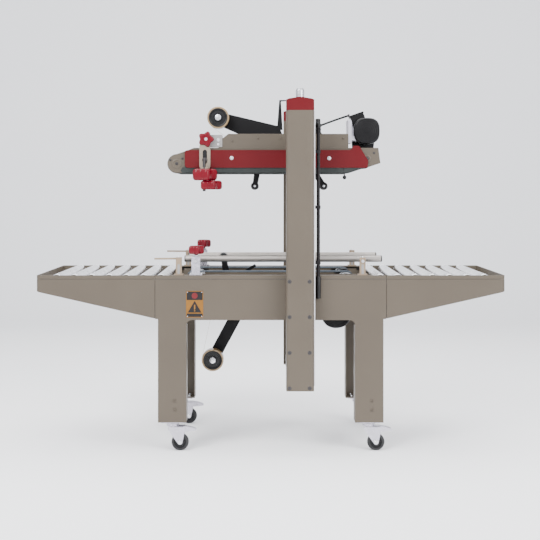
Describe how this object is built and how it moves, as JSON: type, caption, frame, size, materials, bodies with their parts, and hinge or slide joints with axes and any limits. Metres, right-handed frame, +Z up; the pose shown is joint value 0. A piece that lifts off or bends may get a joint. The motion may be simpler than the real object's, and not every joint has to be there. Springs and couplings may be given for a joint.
{
  "type": "carton sealer machine",
  "caption": "Carton sealer on casters: roller tables, driven belts below and above, tape heads, and an upper head that travels on lead-screw columns.",
  "frame": {"origin": "on the floor, under the middle of the machine's overall box", "axes": "+X along the carton's travel from infeed to outfeed, -Y towards the operator's side, +Z up"},
  "size_m": [1.78, 0.76, 1.3765],
  "materials": {
    "frame_paint": "beige grey powder coat",
    "red_paint": "red gloss paint",
    "roller_steel": "chrome plated, brushed",
    "screw_steel": "turned steel",
    "pulley_steel": "turned",
    "belt_rubber": "ribbed blue-grey rubber",
    "motor_black": "black enamel",
    "tape_head_black": "black powder coat",
    "tape": "tan packing tape on a black hub",
    "guide_steel": "satin grey tube",
    "knob_red": "moulded red plastic",
    "caster_zinc": "zinc plated",
    "caster_tyre": "black rubber",
    "cable_black": "black flexible conduit"
  },
  "bodies": {
    "bed": {"side_frame_front": "frame_paint", "side_frame_rear": "frame_paint", "bed_subframe": "frame_paint", "infeed_table": "frame_paint", "outfeed_table": "frame_paint", "mast_frame": "frame_paint", "column_cap_front": "red_paint", "column_cap_rear": "red_paint", "lower_belt_front": "belt_rubber", "lower_belt_rear": "belt_rubber", "lower_gearmotor": "motor_black", "lower_tape_frame": "tape_head_black", "control_box": "frame_paint", "conduit": "cable_black"},
    "upper_head": {"head_frame": "frame_paint", "belt_cover_front": "red_paint", "belt_cover_rear": "red_paint", "upper_belt_front": "belt_rubber", "upper_belt_rear": "belt_rubber", "upper_gearmotor": "motor_black", "upper_tape_frame": "tape_head_black", "motor_lead": "cable_black", "squeeze_adjuster": "knob_red"},
    "lead_screw_front": {"lead_screw_front": "screw_steel"},
    "lead_screw_rear": {"lead_screw_rear": "screw_steel"},
    "lower_idler": {"lower_idler": "pulley_steel"},
    "lower_drive_shaft": {"lower_drive_shaft": "pulley_steel"},
    "upper_idler": {"upper_idler": "pulley_steel"},
    "upper_drive_shaft": {"upper_drive_shaft": "pulley_steel"},
    "upper_tape_roll": {"upper_tape_roll": "tape"},
    "lower_tape_roll": {"lower_tape_roll": "tape"},
    "upper_front_arm": {"upper_front_arm": "tape_head_black"},
    "upper_rear_arm": {"upper_rear_arm": "tape_head_black"},
    "lower_front_arm": {"lower_front_arm": "tape_head_black"},
    "lower_rear_arm": {"lower_rear_arm": "tape_head_black"},
    "guide_rail_front": {"guide_rail_front": "guide_steel"},
    "guide_rail_rear": {"guide_rail_rear": "guide_steel"},
    "infeed_roller_1": {"infeed_roller_1": "roller_steel"},
    "infeed_roller_2": {"infeed_roller_2": "roller_steel"},
    "infeed_roller_3": {"infeed_roller_3": "roller_steel"},
    "infeed_roller_4": {"infeed_roller_4": "roller_steel"},
    "infeed_roller_5": {"infeed_roller_5": "roller_steel"},
    "infeed_roller_6": {"infeed_roller_6": "roller_steel"},
    "infeed_roller_7": {"infeed_roller_7": "roller_steel"},
    "outfeed_roller_1": {"outfeed_roller_1": "roller_steel"},
    "outfeed_roller_2": {"outfeed_roller_2": "roller_steel"},
    "outfeed_roller_3": {"outfeed_roller_3": "roller_steel"},
    "outfeed_roller_4": {"outfeed_roller_4": "roller_steel"},
    "outfeed_roller_5": {"outfeed_roller_5": "roller_steel"},
    "outfeed_roller_6": {"outfeed_roller_6": "roller_steel"},
    "outfeed_roller_7": {"outfeed_roller_7": "roller_steel"},
    "power_switch": {"power_switch": "knob_red"},
    "caster_fork_infeed_front": {"caster_fork_infeed_front": "caster_zinc"},
    "caster_wheel_infeed_front": {"caster_wheel_infeed_front": "caster_tyre"},
    "caster_fork_infeed_rear": {"caster_fork_infeed_rear": "caster_zinc"},
    "caster_wheel_infeed_rear": {"caster_wheel_infeed_rear": "caster_tyre"},
    "caster_fork_outfeed_front": {"caster_fork_outfeed_front": "caster_zinc"},
    "caster_wheel_outfeed_front": {"caster_wheel_outfeed_front": "caster_tyre"},
    "caster_fork_outfeed_rear": {"caster_fork_outfeed_rear": "caster_zinc"},
    "caster_wheel_outfeed_rear": {"caster_wheel_outfeed_rear": "caster_tyre"}
  },
  "joints": [
    {"name": "head_lift", "type": "slide", "parent": "bed", "child": "upper_head", "axis": [0, 0, 1], "range_m": [-0.21, 0.04]},
    {"name": "lead_screw_front_turn", "type": "hinge", "parent": "bed", "child": "lead_screw_front", "pos_m": [0.11, -0.34, 0.2503], "axis": [0, 0, 1], "range_deg": [-7596, 1476]},
    {"name": "lead_screw_rear_turn", "type": "hinge", "parent": "bed", "child": "lead_screw_rear", "pos_m": [0.11, 0.34, 0.2503], "axis": [0, 0, 1], "range_deg": [-7596, 1476]},
    {"name": "lower_idler_turn", "type": "hinge", "parent": "bed", "child": "lower_idler", "pos_m": [-0.3, 0, 0.639], "axis": [0, 1, 0], "continuous": true},
    {"name": "lower_drive_shaft_turn", "type": "hinge", "parent": "bed", "child": "lower_drive_shaft", "pos_m": [0.295, 0, 0.639], "axis": [0, 1, 0], "continuous": true},
    {"name": "upper_idler_turn", "type": "hinge", "parent": "upper_head", "child": "upper_idler", "pos_m": [-0.367, 0, 1.098], "axis": [0, 1, 0], "continuous": true},
    {"name": "upper_drive_shaft_turn", "type": "hinge", "parent": "upper_head", "child": "upper_drive_shaft", "pos_m": [0.378, 0, 1.118], "axis": [0, 1, 0], "continuous": true},
    {"name": "upper_tape_roll_turn", "type": "hinge", "parent": "upper_head", "child": "upper_tape_roll", "pos_m": [-0.211, 0, 1.287], "axis": [0, 1, 0], "continuous": true},
    {"name": "lower_tape_roll_turn", "type": "hinge", "parent": "bed", "child": "lower_tape_roll", "pos_m": [-0.233, 0, 0.309], "axis": [0, 1, 0], "continuous": true},
    {"name": "upper_front_arm_swing", "type": "hinge", "parent": "upper_head", "child": "upper_front_arm", "pos_m": [-0.045, 0, 1.116], "axis": [0, -1, 0], "range_deg": [0, 68], "stiffness_Nm_per_rad": 6, "springref_deg": -34.38},
    {"name": "upper_rear_arm_swing", "type": "hinge", "parent": "upper_head", "child": "upper_rear_arm", "pos_m": [0.15, 0, 1.111], "axis": [0, -1, 0], "range_deg": [0, 34], "stiffness_Nm_per_rad": 6, "springref_deg": -34.38},
    {"name": "lower_front_arm_swing", "type": "hinge", "parent": "bed", "child": "lower_front_arm", "pos_m": [-0.172, 0, 0.621], "axis": [0, 1, 0], "range_deg": [0, 68], "stiffness_Nm_per_rad": 6, "springref_deg": -34.38},
    {"name": "lower_rear_arm_swing", "type": "hinge", "parent": "bed", "child": "lower_rear_arm", "pos_m": [0.041, 0, 0.626], "axis": [0, 1, 0], "range_deg": [0, 34], "stiffness_Nm_per_rad": 6, "springref_deg": -34.38},
    {"name": "guide_rail_front_slide", "type": "slide", "parent": "bed", "child": "guide_rail_front", "axis": [0, -1, 0], "range_m": [-0.03, 0.125]},
    {"name": "guide_rail_rear_slide", "type": "slide", "parent": "bed", "child": "guide_rail_rear", "axis": [0, 1, 0], "range_m": [-0.03, 0.125]},
    {"name": "infeed_roller_1_turn", "type": "hinge", "parent": "bed", "child": "infeed_roller_1", "pos_m": [-0.418, 0, 0.653], "axis": [0, 1, 0], "continuous": true},
    {"name": "infeed_roller_2_turn", "type": "hinge", "parent": "bed", "child": "infeed_roller_2", "pos_m": [-0.484, 0, 0.653], "axis": [0, 1, 0], "continuous": true},
    {"name": "infeed_roller_3_turn", "type": "hinge", "parent": "bed", "child": "infeed_roller_3", "pos_m": [-0.55, 0, 0.653], "axis": [0, 1, 0], "continuous": true},
    {"name": "infeed_roller_4_turn", "type": "hinge", "parent": "bed", "child": "infeed_roller_4", "pos_m": [-0.616, 0, 0.653], "axis": [0, 1, 0], "continuous": true},
    {"name": "infeed_roller_5_turn", "type": "hinge", "parent": "bed", "child": "infeed_roller_5", "pos_m": [-0.682, 0, 0.653], "axis": [0, 1, 0], "continuous": true},
    {"name": "infeed_roller_6_turn", "type": "hinge", "parent": "bed", "child": "infeed_roller_6", "pos_m": [-0.748, 0, 0.653], "axis": [0, 1, 0], "continuous": true},
    {"name": "infeed_roller_7_turn", "type": "hinge", "parent": "bed", "child": "infeed_roller_7", "pos_m": [-0.814, 0, 0.653], "axis": [0, 1, 0], "continuous": true},
    {"name": "outfeed_roller_1_turn", "type": "hinge", "parent": "bed", "child": "outfeed_roller_1", "pos_m": [0.418, 0, 0.653], "axis": [0, 1, 0], "continuous": true},
    {"name": "outfeed_roller_2_turn", "type": "hinge", "parent": "bed", "child": "outfeed_roller_2", "pos_m": [0.484, 0, 0.653], "axis": [0, 1, 0], "continuous": true},
    {"name": "outfeed_roller_3_turn", "type": "hinge", "parent": "bed", "child": "outfeed_roller_3", "pos_m": [0.55, 0, 0.653], "axis": [0, 1, 0], "continuous": true},
    {"name": "outfeed_roller_4_turn", "type": "hinge", "parent": "bed", "child": "outfeed_roller_4", "pos_m": [0.616, 0, 0.653], "axis": [0, 1, 0], "continuous": true},
    {"name": "outfeed_roller_5_turn", "type": "hinge", "parent": "bed", "child": "outfeed_roller_5", "pos_m": [0.682, 0, 0.653], "axis": [0, 1, 0], "continuous": true},
    {"name": "outfeed_roller_6_turn", "type": "hinge", "parent": "bed", "child": "outfeed_roller_6", "pos_m": [0.748, 0, 0.653], "axis": [0, 1, 0], "continuous": true},
    {"name": "outfeed_roller_7_turn", "type": "hinge", "parent": "bed", "child": "outfeed_roller_7", "pos_m": [0.814, 0, 0.653], "axis": [0, 1, 0], "continuous": true},
    {"name": "power_switch_turn", "type": "hinge", "parent": "bed", "child": "power_switch", "pos_m": [-0.225, 0.3685, 0.605], "axis": [0, 1, 0], "range_deg": [0, 90]},
    {"name": "caster_swivel_infeed_front", "type": "hinge", "parent": "bed", "child": "caster_fork_infeed_front", "pos_m": [-0.374, -0.262, 0.1087], "axis": [0, 0, 1], "continuous": true},
    {"name": "caster_spin_infeed_front", "type": "hinge", "parent": "caster_fork_infeed_front", "child": "caster_wheel_infeed_front", "pos_m": [-0.346, -0.262, 0.033], "axis": [0, 1, 0], "continuous": true},
    {"name": "caster_swivel_infeed_rear", "type": "hinge", "parent": "bed", "child": "caster_fork_infeed_rear", "pos_m": [-0.374, 0.262, 0.1087], "axis": [0, 0, 1], "continuous": true},
    {"name": "caster_spin_infeed_rear", "type": "hinge", "parent": "caster_fork_infeed_rear", "child": "caster_wheel_infeed_rear", "pos_m": [-0.346, 0.262, 0.033], "axis": [0, 1, 0], "continuous": true},
    {"name": "caster_swivel_outfeed_front", "type": "hinge", "parent": "bed", "child": "caster_fork_outfeed_front", "pos_m": [0.374, -0.262, 0.1087], "axis": [0, 0, 1], "continuous": true},
    {"name": "caster_spin_outfeed_front", "type": "hinge", "parent": "caster_fork_outfeed_front", "child": "caster_wheel_outfeed_front", "pos_m": [0.402, -0.262, 0.033], "axis": [0, 1, 0], "continuous": true},
    {"name": "caster_swivel_outfeed_rear", "type": "hinge", "parent": "bed", "child": "caster_fork_outfeed_rear", "pos_m": [0.374, 0.262, 0.1087], "axis": [0, 0, 1], "continuous": true},
    {"name": "caster_spin_outfeed_rear", "type": "hinge", "parent": "caster_fork_outfeed_rear", "child": "caster_wheel_outfeed_rear", "pos_m": [0.402, 0.262, 0.033], "axis": [0, 1, 0], "continuous": true}
  ],
  "couplings": [
    {"joint": "lead_screw_front_turn", "follows": "head_lift", "rad_per_m": 628.32},
    {"joint": "lead_screw_rear_turn", "follows": "head_lift", "rad_per_m": 628.32},
    {"joint": "lower_idler_turn", "follows": "lower_drive_shaft_turn", "ratio": 1},
    {"joint": "upper_idler_turn", "follows": "upper_drive_shaft_turn", "ratio": 0.82143},
    {"joint": "upper_rear_arm_swing", "follows": "upper_front_arm_swing", "ratio": 0.5},
    {"joint": "lower_rear_arm_swing", "follows": "lower_front_arm_swing", "ratio": 0.5}
  ]
}
